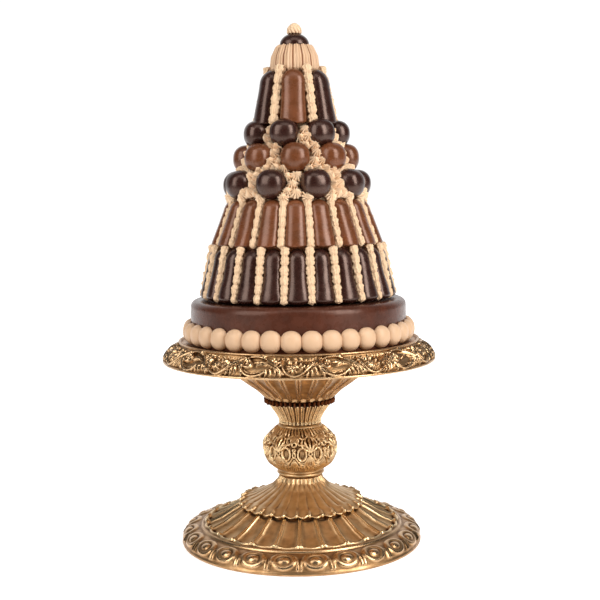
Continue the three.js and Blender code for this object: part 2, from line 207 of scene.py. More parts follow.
def piece(name, skins, material, replaced):
    """One mesh from closed skins. Each is a grid of points in millimetres, rows by columns, closed round its
    columns and capped at both ends, and how dark each point is coloured, from 0 to 1: how deep in a hollow it
    lies, and on the cream also painted shade."""
    points, faces, shade, first = [], [], [], 0
    for grid, depth in skins:
        depth = depth * np.ones(grid.shape[:2])
        kept = needed_rows(grid, depth)
        grid, depth = grid[kept], depth[kept]
        rows, columns = grid.shape[:2]
        ids = first + np.arange(rows * columns).reshape(rows, columns)
        beside = np.roll(ids, -1, 1)
        under, over = np.full((2, columns), first + rows * columns) + [[0], [1]]
        quads = np.concatenate([
            np.stack([ids[:-1], beside[:-1], beside[1:], ids[1:]], -1).reshape(-1, 4),
            np.stack([beside[0], ids[0], under, under], -1),
            np.stack([ids[-1], beside[-1], over, over], -1),
        ])
        flat = np.concatenate([grid.reshape(-1, 3), grid[:1].mean(1), grid[-1:].mean(1)])
        a, b, c = (flat[quads[:, k] - first] for k in (0, 1, 2))
        if (a * np.cross(b, c)).sum() < 0:  # the skin is inside out
            quads = quads[:, ::-1]
        points.append(flat)
        faces.append(quads)
        shade.append(np.concatenate([depth.ravel(), depth[0, :1], depth[-1, :1]]))
        first += len(flat)
    mesh = bpy.data.meshes.new(name)
    loops = [list(dict.fromkeys(face)) for face in np.concatenate(faces).tolist()]
    mesh.from_pydata(np.concatenate(points) * MM, [], loops)
    mesh.polygons.foreach_set("use_smooth", np.ones(len(mesh.polygons), bool))
    mesh.attributes.new("hollow", "FLOAT", "POINT").data.foreach_set("value", np.concatenate(shade))
    mesh.materials.append(material)
    made = bpy.data.objects.new(name, mesh)
    scene.collection.objects.link(made)
    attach(made, "root")
    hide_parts(replaced)
    return made


Turned = namedtuple("Turned", "radius level normal along")  # columns with a row for each point


def outline(points, rounding, step):
    """The outline of a turned shape through [radius, level] points, its corners eased over a rounding in
    millimetres, as evenly spaced points with their normals and their distance along it."""
    points = np.array(points, float)
    along = np.concatenate([[0], np.cumsum(np.hypot(*np.diff(points, axis=0).T))])
    fine = np.arange(0, along[-1], 0.1)
    line = np.stack([np.interp(fine, along, points[:, k]) for k in (0, 1)], -1)
    reach = int(rounding / 0.1)
    bell = np.hanning(2 * reach + 1)
    padded = np.pad(line, ((reach, reach), (0, 0)), mode="reflect", reflect_type="odd")
    eased = np.stack([np.convolve(padded[:, k], bell / bell.sum(), "valid") for k in (0, 1)], -1)
    travel = np.concatenate([[0], np.cumsum(np.hypot(*np.diff(eased, axis=0).T))])
    at = np.linspace(0, travel[-1], int(travel[-1] / step) + 1)
    line = np.stack([np.interp(at, travel, eased[:, k]) for k in (0, 1)], -1)
    slope = np.gradient(line, axis=0)
    normal = np.stack([slope[:, 1], -slope[:, 0]], -1)
    return Turned(line[:, :1], line[:, 1:], normal / np.hypot(*normal.T)[:, None], at[:, None])


def arc(centre, half_width, half_height, angles):
    """Points round an ellipse at angles in degrees from its right, counted anticlockwise."""
    a = np.radians(angles)
    return np.stack([centre[0] + half_width * np.cos(a), centre[1] + half_height * np.sin(a)], -1)


def along_at(shape, radius, level):
    """How far along a turned shape the point nearest to a radius and level lies."""
    return shape.along[np.argmin(np.hypot(shape.radius - radius, shape.level - level)), 0]


def relieved(shape, azimuths, height):
    """A turned shape pushed out along its normals by a height for each row and column."""
    outwards, upwards = shape.normal[:, :1], shape.normal[:, 1:]
    return around(azimuths, shape.radius + outwards * height, shape.level + upwards * height)


def off(azimuth, count, first):
    """How far an azimuth is from the nearest of count even ones, -1 to 1 between their halfway marks."""
    turn = (azimuth - first) * count / 360
    return 2 * (turn - np.round(turn))


def ridge(distance, half_width):
    """A round-backed ridge: 1 on its line and 0 from half its width away."""
    return np.sqrt(np.clip(1 - (distance / half_width) ** 2, 0, 1))


def within(value, low, high, blur):
    """1 between two values, 0 outside, with soft ends."""
    return np.clip((value - low) / blur + 0.5, 0, 1) * np.clip((high - value) / blur + 0.5, 0, 1)


def eased_over(height, rows, columns):
    """A height field averaged over some rows and columns."""
    total = np.cumsum(np.pad(height, ((0, 0), (columns + 1, columns)), mode="wrap"), 1)
    height = (total[:, 2 * columns + 1 :] - total[:, : -2 * columns - 1]) / (2 * columns + 1)
    total = np.cumsum(np.pad(height, ((rows + 1, rows), (0, 0)), mode="edge"), 0)
    return (total[2 * rows + 1 :] - total[: -2 * rows - 1]) / (2 * rows + 1)


def hollowed(height, rows, columns, full):
    """How deep each point lies under its surroundings, 0.5 for level and 1 for a depth of full."""
    return np.clip(0.5 + (eased_over(height, rows, columns) - height) / full / 2, 0, 1)


def stained(material, drift_size, drift_share, stops):
    """How deep in a hollow each point lies, blurred by a drift over a size in metres, and its colour."""
    place = node(material, "ShaderNodeTexCoord").outputs["Object"]
    drift = node(material, "ShaderNodeTexNoise", {"Scale": 1 / drift_size, "Detail": 3.0}, {"Vector": place})
    hollow = node(material, "ShaderNodeAttribute", {"attribute_name": "hollow"}).outputs["Fac"]
    stain_and_shade = node(
        material, "ShaderNodeMath", {"operation": "MULTIPLY_ADD", 1: drift_share},
        {0: drift.outputs["Fac"], 2: hollow},
    ).outputs["Value"]
    return stain_and_shade, node(material, "ShaderNodeValToRGB", {"stops": stops}, {"Fac": stain_and_shade}).outputs["Color"]


def toothed(material, size, detail, strength, distance):
    """A fine tooth in the surface, its grains a size in metres apart: its height and its normal."""
    place = node(material, "ShaderNodeTexCoord").outputs["Object"]
    grain = node(material, "ShaderNodeTexNoise", {"Scale": 1 / size, "Detail": detail}, {"Vector": place})
    bump = node(
        material, "ShaderNodeBump", {"Strength": strength, "Distance": distance},
        {"Height": grain.outputs["Fac"]},
    )
    return grain.outputs["Fac"], bump.outputs["Normal"]


def gilt(name, bright, worn, patina, roughness):
    """Gilding on cast resin: bright on what stands proud, and brown wax left in the hollows. The leaf is
    a little uneven, so its gloss and colour drift over 8 mm, with a fine 1 mm tooth in the surface."""
    material, shader = finish(name, roughness, 1.0)
    stain_and_shade, colour = stained(material, 0.008, 0.35, [(0.5, bright), (0.72, worn), (0.95, patina)])
    dull = node(
        material, "ShaderNodeMapRange", {1: 0.45, 2: 1.0, 3: roughness, 4: 0.6}, {"Value": stain_and_shade},
    ).outputs["Result"]
    tooth = toothed(material, 0.001, 2.0, 0.25, 0.0004)[1]
    feed(material, shader, {"Base Color": colour, "Roughness": dull, "Normal": tooth})
    return material


antique_gilt = gilt("antique_gilt_on_resin", "DFC093", "BD996E", "4A2D17", 0.27)
burnished_gilt = gilt("burnished_gilt_on_resin", "C6A37B", "A27C54", "3C240E", 0.17)

foot_radius, _, foot_top = span("stand_foot")
EDGE = 4.0
EGGS, FIRST_EGG = 24, 6.4
RING_RADIUS = 99.6
PANELS, FIRST_RIB = 26, -1.4
band = arc((RING_RADIUS + 1, EDGE), foot_radius - RING_RADIUS - 2.2, 12.0, np.arange(0, 91, 10))
foot = outline(
    [(foot_radius - 3, 0.01), (foot_radius - 0.6, 0.6), (foot_radius, 2), (foot_radius - 0.8, EDGE), *band,
     (98, 18.4), (93.4, 19.8), (80.2, 25.2), (68, 32.6), (62, foot_top - 0.6), (30, foot_top - 0.4)],
    0.8, 0.75,
)
azimuths = np.arange(0, 360, 0.55)
egg_middle = along_at(foot, 112.8, 12.8)
mm_round = foot.radius * pi / 180


def eggs(azimuth):
    """Egg-and-dart: a low oval dome in a raised oval rim, and two short upright ticks between."""
    across = off(azimuth, EGGS, FIRST_EGG) * (180 / EGGS) * mm_round
    up = foot.along - egg_middle
    oval = np.hypot(across / 9.7, (up - 0.2) / 7.7)
    rim = 1.4 * ridge((oval - 1) * 8.7, 2.8)
    dome = 3.6 * ridge(np.hypot(across / 7.0, (up + 0.3) / 5.2), 1.0) - 1.1
    between = off(azimuth, EGGS, FIRST_EGG + 180 / EGGS) * (180 / EGGS) * mm_round
    ticks = 2.0 * ridge(np.abs(between) - 1.5, 0.85) * within(up, -10, 1, 2)
    return np.maximum(rim, np.where(oval < 1, dome, np.maximum(ticks - 0.4, -0.4)))


def panels(azimuth):
    """Hollow panels between double ribs, closed at the foot by a thin bead with a knot at each rib."""
    share = np.abs(off(azimuth, PANELS, FIRST_RIB))
    across = share * (180 / PANELS) * mm_round
    rib_half = 1.7 * foot.radius / 96
    rib = 1.2 * ridge(across - rib_half, 0.8)
    swag = 94.0 + 2.4 * (1 - (1 - share) ** 2)
    hollow = -2.6 * np.clip(1 - ((1 - share) / 0.84) ** 2, 0, 1) ** 0.6
    floor_height = np.where(across > rib_half, hollow, -0.3)
    inside = within(foot.radius, 40, swag - 0.8, 1.4)
    knot = 1 + 0.9 * ridge(across - rib_half, 1.2)
    bead = 1.5 * knot * ridge(foot.radius - swag, 1.5 + 0.5 * (knot > 1))
    return np.maximum(inside * (rib + floor_height), 0) + np.minimum(inside * floor_height, 0) + bead


PANELS_END = RING_RADIUS - 1.2
ring = 1.2 * ridge(foot.radius - RING_RADIUS, 1.6) * (foot.level > 10)
on_band = np.where(foot.level > EDGE + 0.4, eggs(azimuths), 0)
relief = np.where(foot.radius < PANELS_END, panels(azimuths), on_band) + ring
relief = relief * within(foot.radius, 57, 200, 3)
foot_mesh = piece(
    "gilt_foot", [(relieved(foot, azimuths, relief), hollowed(relief, 4, 5, 2.1))], burnished_gilt,
    "stand_foot",
).data
foot_mesh.materials.append(antique_gilt)  # the panels were left satin
centres = np.empty(3 * len(foot_mesh.polygons))
foot_mesh.polygons.foreach_get("center", centres)
on_panels = np.hypot(centres[0::3], centres[1::3]) < PANELS_END * MM
foot_mesh.polygons.foreach_set("material_index", on_panels.astype(int))


# ---- Skirt
# A bell of lapped leaves cast in one with the stem. Each leaf is a long trough between two creases,
# and its tip turns up a little over the foot.
skirt_radius, skirt_bottom, skirt_top = span("stand_skirt")
LEAVES, FIRST_LEAF = 30, 1.9
skirt = outline(
    [(skirt_radius - 6, skirt_bottom + 0.2), (skirt_radius - 2.6, skirt_bottom + 0.4),
     (skirt_radius - 1.0, skirt_bottom + 1.8), (58, 41.8), (45.6, 46.4), (30.6, 54), (22.6, 60.4),
     (20.9, skirt_top - 1), (18, skirt_top)],
    1.4, 0.7,
)
azimuths = np.arange(0, 360, 0.5)
radius, level = skirt[:2]
side = off(azimuths, LEAVES, FIRST_LEAF)
share = np.abs(side)
wave = np.sin(np.radians(azimuths) * 7 + 1) * 0.3 + np.sin(np.radians(azimuths) * 11) * 0.25
spread = np.clip((radius - 20) / (skirt_radius - 20), 0, 1)
edge = within(radius, skirt_radius - 9, 90, 8)
crease = -0.9 * spread * ridge(share - 1, 0.2) * (1 - 2.9 * edge)
bowl = 0.45 * np.cos(side * pi) + 0.5 * np.sin(side * pi / 2 + wave) * (1 - share) ** 0.3
lip = 0.8 * ridge(radius - skirt_radius + 1.1, 1.5)
neck = 0.8 * within(radius, 19.8, 27, 5) * np.cos(side * pi) * within(level, 55, skirt_top - 0.8, 1.2)
relief = crease + 0.9 * spread * bowl + neck + lip - 0.5 * spread
grid = relieved(skirt, azimuths, relief)
curl = np.cos(side * pi + 1.2 * wave)
sides = np.exp(-(((np.abs((azimuths + 180) % 360 - 180) - 112) / 26) ** 2))  # curled most at left and right
lift = 0.8 * wave + 1.5 * sides - 0.2 - (1.0 + 0.8 * sides) * curl
grid[..., 2] += edge * lift * np.clip((level - skirt_bottom) / 2.5, 0.3, 1)
grid[..., :2] *= 1 + edge[..., None] * (0.7 * (curl - 1) / skirt_radius)[..., None]
piece("gilt_skirt", [(grid, hollowed(relief, 5, 7, 2.6))], antique_gilt, "stand_skirt")


# ---- Knob
# A flattened ball with the richest carving of the stand: oval niches with upright bars, sheaves of
# leaf blades between them, flowers above, and one plain ring at its foot and one at its top.
knob_radius, knob_bottom, knob_top = span("stand_knob")
KNOB_CENTRE, KNOB_HALF = 93.0, 27.6
knob = outline(
    [(15, knob_bottom + 0.1), (19.8, knob_bottom + 0.2), (22.4, 67.0), (23.8, 68.2), (23.6, 69.6),
     (22.0, 70.6), *arc((0, KNOB_CENTRE), knob_radius, KNOB_HALF, np.arange(-53, 54, 5)),
     (21.4, 115.4), (22.2, 116.6), (21.0, knob_top), (15, knob_top)],
    0.5, 0.5,
)


def carving(u, v, strokes, period):
    """The height that strokes leave on a field of points in millimetres. u repeats with the period. A
    stroke is a line of points, its half width along it, and how far it stands up."""
    height = np.zeros(np.broadcast(u, v).shape)
    for points, half_width, rise in strokes:
        half_width = np.broadcast_to(half_width, len(points))
        rise = np.broadcast_to(rise, len(points))
        reach = half_width.max()
        near = (v > points[:, 1].min() - reach) & (v < points[:, 1].max() + reach)
        rows = np.nonzero(near.any(1))[0]
        if not len(rows):
            continue
        part = slice(rows[0], rows[-1] + 1)
        best = np.full(height[part].shape, 9.0)
        lift = np.zeros_like(best)
        for (x, y), width, up in zip(points, half_width, rise):
            across = (u[part] - x + period / 2) % period - period / 2
            distance = np.hypot(across, v[part] - y) / width
            lift = np.where(distance < best, up, lift)
            best = np.minimum(best, distance)
        height[part] = np.maximum(height[part], lift * np.sqrt(np.clip(1 - best**2, 0, 1)))
    return height


def curve(points, count=24):
    """A smooth line through some points."""
    points = np.array(points, float)
    along = np.linspace(0, len(points) - 1, count)
    ends = [2 * points[0] - points[1], *points, 2 * points[-1] - points[-2]]
    line = []
    for t in along:
        i = min(int(t), len(points) - 2)
        s = t - i
        a, b, c, d = ends[i : i + 4]
        bend = (2 * a - 5 * b + 4 * c - d) * s**2 + (3 * (b - c) + d - a) * s**3
        line.append(b + 0.5 * ((c - a) * s + bend))
    return np.array(line)


def blade(root, tip, bend, width, rise):
    """A leaf blade: a stroke from root to tip that bows sideways, widest a third of the way along."""
    root, tip = np.array(root, float), np.array(tip, float)
    side = np.array([root[1] - tip[1], tip[0] - root[0]]) * bend
    t = np.linspace(0, 1, 16)[:, None]
    line = root + (tip - root) * t + side * 4 * t * (1 - t)
    swell = np.sin(pi * (0.12 + 0.86 * t[:, 0]) ** 0.7)
    return line, width * (0.25 + 0.75 * swell), rise * (0.45 + 0.55 * swell)


ROUND = np.linspace(0, 360, 30)
NICHES, FIRST_NICHE = 14, 2.6
azimuths = np.arange(0, 360, 0.6)
radius, level = knob[:2]
period = 2 * 2 * pi * knob_radius / NICHES  # two niches, and a flower and a sheaf between them
u = (azimuths - FIRST_NICHE) / 360 * NICHES / 2 % 1 * period * np.ones_like(radius)
v = (level - KNOB_CENTRE) * np.ones_like(u)
strokes = []
for x in (0, period / 2):
    strokes += [
        (arc((x, 0), 4.3, 6.3, ROUND), 1.2, 2.3),
        *[(curve([(x + k, -4.4), (x + k, 4.4)], 12), 0.62, 1.0) for k in (-1.7, 0, 1.7)],
        *[(arc((x, 0), 6.6 + k, 8.8 + 2.6 * k, np.linspace(205, 335, 20)), 0.9, 1.9) for k in (0, 1.8)],
    ]
sheaf, flower = period / 4, period * 3 / 4
for k in range(-2, 3):
    strokes += [
        blade((sheaf + 0.5 * k, 3), (sheaf + 5.0 * k, 16 - 0.9 * k * k), -0.06 * k, 1.5, 3.6),
        blade((sheaf + 0.4 * k, -2), (sheaf + 3.0 * k, -21 + 1.1 * k * k), 0.05 * k, 1.3, 2.3),
        blade((flower + 0.8 * k, 12.5), (flower + 2.6 * k, 21.5 - 0.5 * k * k), -0.03 * k, 1.1, 2.0),
        blade((flower + 0.6 * k, -7), (flower + 2.6 * k, -21.5 + 0.6 * k * k), 0.04 * k, 1.2, 2.0),
    ]
strokes += [
    (arc((sheaf, 0.6), 1.7, 1.7, ROUND), 0.9, 2.6),
    (arc((flower, 9.5), 2.2, 1.9, ROUND), 1.1, 3.0),
    (arc((flower, 4.2), 1.5, 1.1, ROUND), 0.9, 2.4),
    (arc((flower, -0.6), 1.3, 2.6, ROUND), 0.9, 2.0),
]
tendrils = [
    ([(1.5, 13), (5.5, 9.4), (10, 9), (13.6, 5)], 1.1, 2.3),
    ([(3, 17.5), (9, 14.5), (14, 16), (18, 20)], 1.0, 2.0),
    ([(2, -4), (6, -9.5), (11, -11), (14, -6)], 1.0, 2.1),
]
leaves = [(4, 11.5, 4, 6.5), (8, 9.5, 4, 7.5), (11, 9, 4, 8), (5, -9, 3, -8), (9, -11, 3, -8),
          (12, -9.5, 4, -7), (16, 11, 2, 7)]
for side in (-1, 1):
    strokes += [(curve([(flower + side * x, y) for x, y in line]), *rest) for line, *rest in tendrils]
    strokes += [
        blade((flower + side * x, y), (flower + side * (x + dx), y + dy), 0.12 * side, 1.15, 2.2)
        for x, y, dx, dy in leaves
    ]
for x in np.arange(0, period, period / 7):  # a ring of small leaves round the neck
    strokes.append(blade((x, 22), (x + 1.4, 16), 0.1, 1.6, 2.2))
on_ball = within(level, 70.8, KNOB_CENTRE + 22.6, 1.2)
ovals = np.minimum(np.hypot(((u + period / 4) % (period / 2) - period / 4) / 3.4, v / 5.4), 1)
relief = on_ball * (carving(u, v, strokes, period) - 1.6 * (1 - ovals**2) ** 0.5 - 1.1)
piece(
    "gilt_knob", [(relieved(knob, azimuths, relief), hollowed(relief, 5, 6, 2.2))], antique_gilt,
    "stand_knob",
)


# ---- Cup
# A calyx of joined petals that opens upwards from the knob and seems to carry the plate. It is cast resin
# under satin gilding, with fine ribs down each petal and a scalloped rim.
_, cup_bottom, cup_top = span("stand_cup")
PETALS, RIBS = 16, 32
cup = outline(
    [(15, cup_bottom + 0.1), (20, cup_bottom + 0.2), (20.6, cup_bottom + 1.4), (20.2, 122), (24, 129.1),
     (29.2, 136.6), (31.3, cup_top - 1), (30.3, cup_top - 0.2), (15, cup_top - 0.3)],
    0.5, 0.5,
)
azimuths = np.arange(0, 360, 0.6)
opened = np.clip((cup.level - cup_bottom) / (cup_top - cup_bottom), 0, 1)
swell = np.cos(off(azimuths, PETALS, 0) * pi / 2)
rib = np.abs(off(azimuths, RIBS, 0))
outside = within(cup.radius, 19.8, 60, 0.6)
relief = outside * (opened * (1.2 * swell - 0.9) + 0.75 * ridge(rib - 0.62, 0.3) - 0.5 * ridge(rib, 0.5))
grid = relieved(cup, azimuths, relief)
grid[..., 2] -= 1.3 * opened**4 * (1 - swell)
piece("gilt_cup", [(grid, hollowed(relief, 3, 5, 1.0))], antique_gilt, "stand_cup")


# ---- Leaf ring
# A collar of small cast leaf tips that hides the joint between cup and funnel. Its gilt is coloured dark
# brown to black as painted shade, for the shadow that falls under the plate, and no two tips stand quite
# alike.
# painted shade: near-black gilt colours stand for the shadow under the plate
shade_painted_gilt = gilt("gilt_on_resin_painted_dark_for_shade", "5E3219", "2C1308", "0F0502", 0.42)
collar_radius, collar_bottom, collar_top = span("stand_leaf_ring")
TIPS = 44
collar = outline(
    [(20, collar_bottom + 0.1), (31.4, collar_bottom + 0.2), (32.6, collar_bottom - 0.6),
     (collar_radius - 1.4, 141.4), (collar_radius - 0.9, 142.7), (34.2, collar_top - 0.1),
     (20, collar_top - 0.1)],
    0.3, 0.35,
)
azimuths = np.arange(0, 360, 0.5)
draw = np.random.default_rng(14)
which = np.round(azimuths * TIPS / 360).astype(int) % TIPS
reach, lift = draw.uniform(0.8, 2.2, TIPS)[which], draw.uniform(-0.9, 0.9, TIPS)[which]
point = 1 - np.abs(off(azimuths, TIPS, 0))
fringe = within(collar.radius, 30, 60, 3)
relief = fringe * ((1.2 + reach) * (point - 0.35))
grid = relieved(collar, azimuths, relief)
grid[..., 2] += fringe * (lift * point - 0.9 * reach * point * (collar.level < 142.4))
grid[..., 2] = np.clip(grid[..., 2], collar_bottom - 2.2, collar_top + 0.8)
piece("dark_leaf_collar", [(grid, hollowed(relief, 3, 4, 1.6))], shade_painted_gilt, "stand_leaf_ring")


# ---- Plate
# One casting: a fluted funnel, a smooth underside, and a broad rounded lip with a running scroll of
# acanthus between two plain edges. Its inner edge is a low rolled rim that holds the cake.
plate_radius, plate_bottom, plate_top = span("stand_plate")
LIP_CENTRE, SHOULDER = 185.2, 118.4
SCROLLS, FIRST_SCROLL, SCROLL_RADIUS = 11, -2.4, 130
FLUTES, FIRST_FLUTE, FLUTES_TOP = 25, -1.0, 176
lip = [
    (SHOULDER + (plate_radius - 1.2 - SHOULDER) * cos(a) ** 1.2,
     LIP_CENTRE + (plate_top - 2.0 - LIP_CENTRE) * copysign(abs(sin(a)) ** 1.2, a))
    for a in np.radians(np.arange(-6, 79, 6))
]
plate = outline(
    [(20, plate_bottom + 0.2), (34, plate_bottom + 0.2), (36, 147.4), (43.3, 154.3), (52, 160.4),
     (60, 166.4), (66.8, 173.4), (71.6, 177.7), (129.5, 183.2), (133.6, 183.4), *lip,
     (SHOULDER + 2.6, plate_top - 0.8), (SHOULDER + 1.9, plate_top + 1.4), (SHOULDER + 0.6, plate_top + 2.6),
     (SHOULDER - 1.4, plate_top + 2.6), (SHOULDER - 2.3, plate_top + 0.2), (60, plate_top - 0.6)],
    0.5, 0.6,
)
azimuths = np.arange(0, 360, 0.32)
radius, level = plate[:2]
on_funnel = within(radius, 35, 66, 2) * (level < FLUTES_TOP)
half_flute = radius * pi / FLUTES
flute = np.abs(off(azimuths, FLUTES, FIRST_FLUTE)) * half_flute
double_rib = 1.1 * ridge(flute - 1.2 * radius / 50, 0.9) - 1.2 * ridge(flute - half_flute, radius * 0.085)

lip_start = along_at(plate, plate_radius, 184)
BREADTH = along_at(plate, SHOULDER + 1.9, plate_top + 1.9) - lip_start
period = 2 * pi * SCROLL_RADIUS / SCROLLS
u = (azimuths - FIRST_SCROLL) / 360 * SCROLLS % 1 * period * np.ones_like(radius)
v = (plate.along - lip_start) * np.ones_like(u)
turns = np.radians(np.linspace(100, 100 + 560, 60))
coil = np.linspace(5.6, 1.2, 60)
strokes = [
    # a stem that cradles the flower and climbs to the next volute, with a finer one beside it
    (curve([(-10.5, 7.8), (-10.4, 1), (-6.5, -5.2), (0.5, -7.8), (7.5, -6.2), (14.5, -1.6), (21, 3.4),
            (26.5, 8)], 80), 1.15, 3.2),
    (curve([(3, -9.2), (10.5, -6.8), (17.5, -2), (23.5, 3)], 40), 0.6, 2.0),
    # the volute and the two arcs that bound its broad smooth leaf, each with a finer one inside
    (np.stack([31.5 + coil * np.cos(turns), 2.6 + 0.95 * coil * np.sin(turns)], -1),
     np.linspace(1.3, 0.8, 60), 3.0),
    (curve([(25.2, 3.4), (26.4, -2.4), (31.2, -6.8), (38.5, -8), (45.5, -6.6), (50.5, -3.4)], 50),
     1.1, 3.0),
    (curve([(29.5, -3.2), (33.5, -5.4), (39, -5.8), (44, -4.6)], 30), 0.6, 1.8),
    (curve([(32.5, 8.6), (41, 8.8), (49, 7), (56, 2.8), (61.5, -2.2), (period - 8.5, -6.4)], 60),
     1.15, 3.0),
    (curve([(37, 4.8), (44, 5.2), (50.5, 3), (55, -0.4)], 30), 0.6, 1.6),
    (arc((-0.6, -1.2), 1.1, 1.0, ROUND), 1.0, 3.0),
]
petals = np.arange(-20, 320, 38)  # of the flower
roots, tips = arc((-0.6, -1.2), 1.4, 1.2, petals), arc((-0.6, -1.0), 6.6, 5.0, petals + degrees(0.3))
strokes += [blade(root, tip, 0.16, 1.05, 2.7) for root, tip in zip(roots, tips)]
for x, y, dx, dy, bend in (
    (-2, 4.4, -3.4, 4, 0.2), (2.4, 4.2, -1.6, 4.6, -0.1), (6.6, 1.6, 0.2, 7, -0.15),
    (8.6, -1.4, 3.4, 8.6, -0.15), (11.6, -1.6, 4, 9.4, -0.12), (14.8, 0.2, 4.2, 8.2, -0.1),
    (18.4, 3, 3.2, 5.6, -0.1), (7.4, -2.4, 1.6, 3.4, 0.1), (13.5, -4, -2.8, -4.6, 0.15),
    (16.5, -2, -0.8, -6.4, 0.12), (19.4, 0.2, 0.8, -7.6, 0.1), (22.6, 2.4, 1.4, -8.4, 0.1),
    (24.2, -2, 3.2, -6.2, 0.12), (46.5, -4.6, -2.6, -4.2, 0.15), (50, -3, -1, -5.6, 0.12),
    (53, -1.4, 0.6, -6.6, 0.1), (56, 0.4, 2.4, -8, 0.1), (58.6, -1.6, 3.8, -6.4, 0.1),
    (52.4, 5.8, 3.6, 3, -0.2), (55.4, 4, 4.8, 4.6, -0.18), (58.4, 1.8, 5, 6.4, -0.15),
    (61, -0.6, 4.6, 8.4, -0.15), (40.5, 0.8, 10, 0.6, 0.12), (28, 7.4, -3, 1.4, 0.1),
    (33.8, -8.8, 5, -0.6, 0.1), (26.8, -5.4, 0.4, -3.6, 0.1), (62.4, -3.2, 0.8, -5.4, 0.1),
    (43.5, 8.6, 5.5, 0.6, 0.1),
):
    strokes.append(blade((x, y), (x + dx, y + dy), bend, 1.0, 2.8))  # the leaves along the stems
# It is drawn 20 mm high about its middle, and stretched to the lip's own breadth.
strokes = [(line * [1, BREADTH / 20] + [0, BREADTH / 2], *rest) for line, *rest in strokes]
scroll = within(v, 1.8, BREADTH, 0.6) * (1.1 * carving(u, v, strokes, period) - 1.9)
relief = on_funnel * double_rib + scroll + 0.9 * within(v, -0.6, 1.5, 0.8)
piece(
    "gilt_plate", [(relieved(plate, azimuths, relief), hollowed(relief, 4, 5, 2.9))], burnished_gilt,
    "stand_plate",
)


# ---- Drum
# The cake base: a low drum under a poured chocolate glaze, milk and dark mixed. It is satin, its upper
# edge is softly rounded, and the surface keeps long shallow waves from the palette knife.
def glaze(name, colour, deeper, roughness, ior=1.6):
    """Chocolate glaze: satin, with cloudy changes of tone over 12 mm and of gloss over 5 mm, and a skin
    that ripples very slightly."""
    material, shader = finish(name, roughness, IOR=ior, Specular_Tint=linear("FFDBC9"))
    place = node(material, "ShaderNodeTexCoord").outputs["Object"]
    cloud = node(material, "ShaderNodeTexNoise", {"Scale": 1 / 0.012, "Detail": 4.0}, {"Vector": place})
    tone = node(
        material, "ShaderNodeValToRGB", {"stops": [(0.3, deeper), (0.7, colour)]},
        {"Fac": cloud.outputs["Fac"]},
    ).outputs["Color"]
    haze, ripple = toothed(material, 0.005, 3.0, 0.3, 0.0004)
    gloss = node(
        material, "ShaderNodeMapRange", {1: 0.3, 2: 0.7, 3: roughness - 0.05, 4: roughness + 0.07},
        {"Value": haze},
    ).outputs["Result"]
    feed(material, shader, {"Base Color": tone, "Roughness": gloss, "Normal": ripple})
    return material


def uneven(points, size, seed):
    """Soft unevenness from about -1 to 1 at points in millimetres, its swells about a size apart."""
    draw = np.random.default_rng(seed)
    total = 0
    for _ in range(7):
        way = draw.normal(size=3)
        way *= 2 * pi / size / np.linalg.norm(way) * draw.uniform(0.6, 1.3)
        total = total + np.sin(points @ way + draw.uniform(0, 2 * pi))
    return total / 4


drum_glaze = glaze("drum_chocolate_glaze", "4E291C", "3D2016", 0.27, 1.42)
drum_radius, drum_bottom, drum_top = span("cake_drum")
EDGE_ROUND = 7.0
drum = outline(
    [(20, drum_bottom + 0.05), (drum_radius - 0.5, drum_bottom + 0.1), (drum_radius - 0.1, drum_bottom + 1),
     *arc((drum_radius - EDGE_ROUND, drum_top - EDGE_ROUND), EDGE_ROUND, EDGE_ROUND, np.arange(0, 91, 10)),
     (20, drum_top - 0.05)],
    1.0, 1.5,
)
azimuths = np.arange(0, 360, 1.2)
waves = 0.22 * uneven(relieved(drum, azimuths, 0) * [1, 1, 3], 55, 3) - 0.2
waves = (waves - 0.03 * (drum.level - drum_top + 20)) * within(drum.radius, 60, drum_radius + 9, 30)
piece("glazed_drum", [(relieved(drum, azimuths, waves), 0)], drum_glaze, "cake_drum")


# ---- Pearls
# Balls of cream rolled or piped one against the next round the foot of the drum, pressed a little oval. They
# are smooth and matt, with painted shade, brown, in the clefts between them and along their feet.
def cream(name, bright, shadow, roughness, grainy=0.25):
    """Piped buttercream: matt, paler on what stands proud and brown in the hollows, partly a brown wash and
    partly painted shade, with a fine 0.8 mm grain from the sugar."""
    material, shader = finish(name, roughness, IOR=1.45, Specular_IOR_Level=0.35)
    colour = stained(material, 0.007, 0.3, [(0.5, bright), (1.0, shadow)])[1]
    grain = toothed(material, 0.0008, 2.0, grainy, 0.0006)[1]
    feed(material, shader, {"Base Color": colour, "Normal": grain})
    return material


def rounded_ball(rows, step, squareness):
    """A unit ball that is a little square: rows of points from foot to head, a step in degrees apart."""
    turn, up = np.meshgrid(np.radians(np.arange(0, 360, step)), np.radians(np.linspace(-88, 88, rows)))
    ball = np.stack([np.cos(up) * np.sin(turn), np.cos(up) * np.cos(turn), np.sin(up)], -1)
    return ball / (np.abs(ball) ** squareness).sum(-1, keepdims=True) ** (1 / squareness)


def facing(azimuth):
    """The unit vectors straight out from the axis at an azimuth and across to its right."""
    turn = radians(azimuth)
    return np.array([sin(turn), -cos(turn), 0]), np.array([cos(turn), sin(turn), 0])


def placed(azimuth, out, across, level):
    """Points out from the axis at an azimuth, across to its right and up, in millimetres."""
    ahead, aside = facing(azimuth)
    return out[..., None] * ahead + across[..., None] * aside + level[..., None] * np.array([0, 0, 1])


